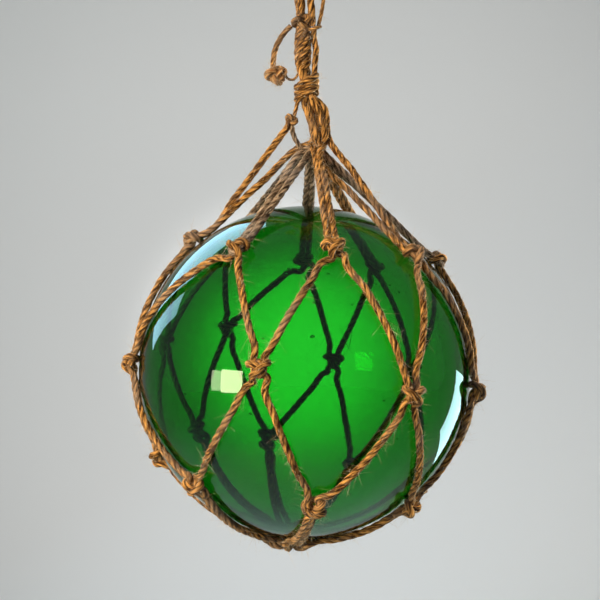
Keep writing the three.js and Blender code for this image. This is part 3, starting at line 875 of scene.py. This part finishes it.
def loose_fibres(name, ropes, per_metre, longest):
    """Thin three-sided tubes, each a curve root + length (heading t + curl t^2) from a random place on a
    rope's skin: the heading leans off the rope and along it, and the curl is random, up to a limit. Each
    narrows to its tip, and none enters the glass."""
    roots, headings = [], []
    for rope in ropes:
        count = int(per_metre * len(rope["line"]) * RING_STEP)
        at = chance.integers(1, len(rope["line"]) - 1, count)
        a = chance.uniform(0, 2 * np.pi, count)[:, None]
        off = np.cos(a) * rope["side"][at] + np.sin(a) * rope["across"][at]
        roots.append(rope["line"][at] + off * rope["size"][at][:, None] * HAIR_ROOT)
        lift = chance.uniform(*HAIR_LIFT, (count, 1))
        headings.append(off * lift + rope["along"][at] * chance.uniform(-1, 1, (count, 1)))
    root, heading = np.vstack(roots), np.vstack(headings)
    count = len(root)
    heading /= np.linalg.norm(heading, axis=1)[:, None]
    share = chance.uniform(0, 1, (count, 1)) ** HAIR_MOSTLY_SHORT
    length = HAIR_SHORTEST + (longest - HAIR_SHORTEST) * share
    curl = chance.normal(size=(count, 3)) * HAIR_CURL
    curl /= np.maximum(1, np.linalg.norm(curl, axis=1) / HAIR_MOST_CURL)[:, None]
    t = np.linspace(0, 1, HAIR_PARTS)[None, :, None]
    line = root[:, None] + length[:, None] * (heading[:, None] * t + curl[:, None] * t**2)
    side = np.cross(heading, chance.normal(size=(count, 3)))
    side /= np.linalg.norm(side, axis=1)[:, None]
    across = np.cross(heading, side)
    a = (2 * np.pi * np.arange(3) / 3)[None, None, :, None]
    width = HAIR_WIDTH / 2 * (1 - HAIR_TAPER * t)[..., None]
    rings = line[:, :, None] + width * (np.cos(a) * side[:, None, None] + np.sin(a) * across[:, None, None])
    poles = line[:, [0, -1]]
    points = np.concatenate([rings.reshape(count, -1, 3), poles], 1).reshape(-1, 3)
    away = np.linalg.norm(points, axis=1)
    nearest = BALL_RADIUS + HAIR_OVER_GLASS
    inside = away < nearest
    points[inside] *= (nearest / away[inside])[:, None]
    hair = skin_faces(HAIR_PARTS, 3, False, 0)
    one = np.array([face + face[:1] if len(face) == 3 else face for face in hair])
    stride = HAIR_PARTS * 3 + 2
    faces = (one[None] + stride * np.arange(count)[:, None, None]).reshape(-1, 4)
    faces = [face[:3] if face[0] == face[3] else face for face in faces.tolist()]
    mesh = bpy.data.meshes.new(name)
    mesh.from_pydata((points + BALL_CENTRE).tolist(), [], faces)
    new_piece(name, mesh, PALE_FIBRE)


loose_fibres("upper_mesh_fibres", [upper_band], 1700, 0.0085)
loose_fibres("lower_mesh_fibres", [lower_band], 1700, 0.0085)
loose_fibres("upper_rope_fibres", upper_ropes, 1500, 0.0085)
loose_fibres("lower_rope_fibres", lower_ropes, 1500, 0.0085)
upper_parts = [*hanging_ropes, stray_tie, loop_rope, thin_rope, tail_rope]
loose_fibres("hanging_fibres", upper_parts, 1400, 0.007)
loose_fibres("frayed_end_fibres", [frayed_end], 5000, 0.006)
loose_fibres("frayed_knot_fibres", knot_ropes, 5500, 0.006)

# The floor and the light
# A pale floor sweeps up into a backdrop with a glow on it behind the ball. The ball mirrors a cool softbox
# behind at the left, a cool strip behind at the right and a small warm window. Narrow lamps light the ropes.
FLOOR_HEIGHT = -1.5
FLOOR_REACH = 14.0
SWEEP = 1.5
BACKDROP_AT = 2.6
BACKDROP_TOP = 2.6
BACKDROP_LAMPS_AT = 0.6


def sweep_line():
    """The floor from behind the camera to the foot of the sweep, a quarter round, and the backdrop's
    height."""
    turn = np.linspace(0, np.pi / 2, 24)
    forward, up = BACKDROP_AT - SWEEP + SWEEP * np.sin(turn), FLOOR_HEIGHT + SWEEP * (1 - np.cos(turn))
    quarter = np.column_stack([forward, up])
    return np.vstack([[(-FLOOR_REACH, FLOOR_HEIGHT)], quarter, [(BACKDROP_AT, BACKDROP_TOP)]])


profile = sweep_line()
floor_points = [(side * FLOOR_REACH / 2, y, z) for side in (-1, 1) for y, z in profile]
floor_faces = [(i, i + len(profile), i + 1 + len(profile), i + 1) for i in range(len(profile) - 1)]
floor_mesh = bpy.data.meshes.new("floor")
floor_mesh.from_pydata(floor_points, [], floor_faces)
floor_mesh.shade_smooth()
floor_paint, wire, shader = new_material("pale_floor")
shader.inputs["Base Color"].default_value = (0.8, 0.8, 0.79, 1)
shader.inputs["Roughness"].default_value = 0.9
floor_mesh.materials.append(floor_paint)
floor = bpy.data.objects.new("floor", floor_mesh)
bpy.context.scene.collection.objects.link(floor)


def facing(place, aim, roll=0.0):
    """The rotation of a lamp at a place whose light goes towards the aim, rolled about that line."""
    back = (place - aim) / np.linalg.norm(place - aim)
    right = np.cross((0.0, 0.0, 1.0), back)
    right /= np.linalg.norm(right)
    up = np.cross(back, right)
    c, s = math.cos(math.radians(roll)), math.sin(math.radians(roll))
    return Matrix((c * right + s * up, c * up - s * right, back)).transposed().to_euler()


def softbox(name, azimuth, height, distance, size, power, colour, roll=0.0, mirrored=True, beam=180):
    """A flat light at an azimuth, height angle and distance from the ball's centre, turned to face it. Its
    beam is an angle in degrees."""
    light = bpy.data.lights.new(name, "AREA")
    light.shape = "RECTANGLE"
    light.size, light.size_y = size
    light.energy = power
    light.color = colour
    light.spread = math.radians(beam)
    lamp = bpy.data.objects.new(name, light)
    lamp.location = BALL_CENTRE + towards(azimuth, height) * distance
    lamp.rotation_euler = facing(np.array(lamp.location), BALL_CENTRE, roll)
    lamp.visible_camera = False
    lamp.visible_glossy = mirrored
    lamp.visible_transmission = False
    bpy.context.scene.collection.objects.link(lamp)
    return lamp


softbox("softbox_left", -140, 27, 1.6, (1.5, 0.75), 16, (0.42, 0.78, 1.0), roll=-35)
softbox("strip_right", 133, -17, 1.4, (0.66, 0.56), 8, (0.55, 0.92, 1.0), roll=-12)
window = softbox("window_front", -48, -2, 1.5, (0.4, 0.36), 8, (1.0, 0.88, 0.60))
window.visible_transmission = True
softbox("window_blind", -59, -2, 1.5, (0.2, 0.30), 1.6, (0.95, 1.0, 0.66))
softbox("key_front", -42, 22, 1.9, (0.5, 0.5), 2.4, (1.0, 0.87, 0.70), mirrored=False, beam=40)
softbox("rim_right", 127, 4, 1.8, (0.4, 0.8), 6, (0.95, 0.98, 1.0), mirrored=False, beam=40)
softbox("fill_top", 10, 70, 2.3, (1.6, 1.6), 0.6, (1.0, 0.98, 0.95), mirrored=False, beam=40)


def backdrop_light(name, power, cone, aim):
    """A soft-edged round light behind the ball, of a power and a cone in degrees, that shines on the
    backdrop."""
    light = bpy.data.lights.new(name, "SPOT")
    light.energy = power
    light.spot_size = math.radians(cone)
    light.spot_blend = 1.0
    light.shadow_soft_size = 0.1
    lamp = bpy.data.objects.new(name, light)
    lamp.location = (0.0, BACKDROP_LAMPS_AT, BALL_CENTRE[2])
    lamp.rotation_euler = facing(np.array(lamp.location), np.array(aim))
    lamp.visible_camera = False
    lamp.visible_glossy = False
    lamp.visible_transmission = False
    bpy.context.scene.collection.objects.link(lamp)


backdrop_light("backdrop_glow", 330, 20, (-0.015, BACKDROP_AT, -0.575))
backdrop_light("backdrop_wash", 68, 100, (0.0, BACKDROP_AT, -0.35))

world = bpy.data.worlds.new("studio")
bpy.context.scene.world = world
world.use_nodes = True
world.node_tree.nodes["Background"].inputs["Color"].default_value = (0.9, 0.95, 1.0, 1)
world.node_tree.nodes["Background"].inputs["Strength"].default_value = 0.22
bpy.context.scene.view_settings.view_transform = "Standard"
